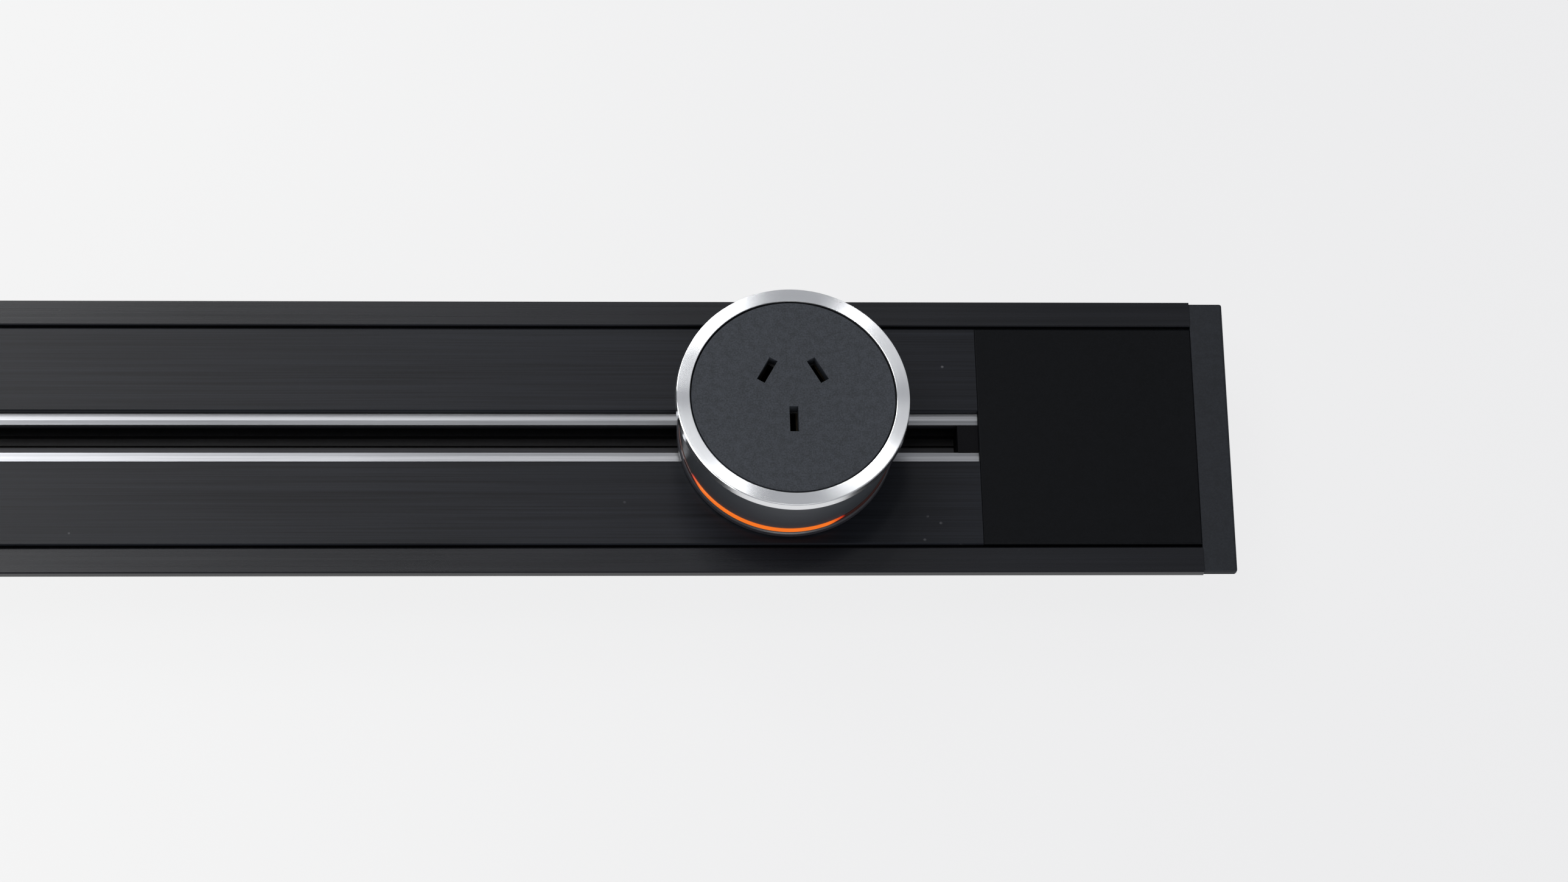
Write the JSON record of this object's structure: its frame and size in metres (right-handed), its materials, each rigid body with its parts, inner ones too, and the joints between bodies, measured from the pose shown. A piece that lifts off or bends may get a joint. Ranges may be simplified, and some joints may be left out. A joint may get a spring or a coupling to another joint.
{
  "type": "power track socket",
  "caption": "Recessed black power track with a bright-edged slot, a feed cover and end caps, and a round twist-in socket adapter with flat angled pin slots and a glowing ring.",
  "frame": {"origin": "middle of the track's length and width, on the underside of the extrusion", "axes": "+X along the track towards its feed end, +Y across it towards the live and neutral pin slots, +Z out of the front face"},
  "size_m": [0.4, 0.08, 0.0516],
  "materials": {
    "anodised_black": "black anodised, fine brushed lines along the track",
    "brushed_black": "black anodised, fine brushed lines along the track",
    "bright_trim": "satin bright anodised",
    "black_insulator": "moulded, matt",
    "copper": "drawn copper strip",
    "dark_rail": "darkened metal rail",
    "slot_stop": "moulded, satin",
    "cover_plastic": "fine matt texture",
    "cap_plastic": "fine matt texture",
    "terminal_plastic": "glass-filled moulding",
    "steel_screw": "zinc plated",
    "base_plastic": "moulded, satin",
    "shell_metallic": "dark metallic satin",
    "light_lens": "translucent, glows orange at the front",
    "turned_ring": "turned bright, polished side",
    "face_plastic": "fine grained matt",
    "contact_brass": "sprung brass, bright",
    "board": "circuit board",
    "lamp": "surface-mounted lamp",
    "stem_plastic": "glass-filled moulding"
  },
  "bodies": {
    "track": {"track_housing": "anodised_black", "upper_panel": "brushed_black", "lower_panel": "brushed_black", "upper_slot_trim": "bright_trim", "lower_slot_trim": "bright_trim", "live_carrier": "black_insulator", "neutral_carrier": "black_insulator", "live_busbar": "copper", "neutral_busbar": "copper", "earth_carrier": "black_insulator", "earth_rail": "dark_rail", "right_slot_stop": "slot_stop", "left_slot_stop": "slot_stop", "feed_cover": "cover_plastic", "terminal_block": "terminal_plastic", "terminal_screws": "steel_screw", "right_end_cap": "cap_plastic", "left_end_cap": "cap_plastic", "end_cap_screws": "steel_screw"},
    "carriage": {"adapter_base": "base_plastic"},
    "head": {"adapter_body": "shell_metallic", "light_ring": "light_lens", "trim_ring": "turned_ring", "socket_face": "face_plastic", "contact_block": "black_insulator", "live_socket_contact": "contact_brass", "neutral_socket_contact": "contact_brass", "earth_socket_contact": "contact_brass", "led_board": "board", "leds": "lamp", "twist_stem": "stem_plastic", "live_wing": "copper", "neutral_wing": "copper", "earth_tip": "contact_brass"}
  },
  "joints": [
    {"name": "adapter_slide", "type": "slide", "parent": "track", "child": "carriage", "axis": [1, 0, 0], "range_m": [-0.2515, 0.036]},
    {"name": "adapter_twist", "type": "hinge", "parent": "carriage", "child": "head", "pos_m": [0.0778, 0, 0.0265], "axis": [0, 0, 1], "range_deg": [0, 90]}
  ]
}
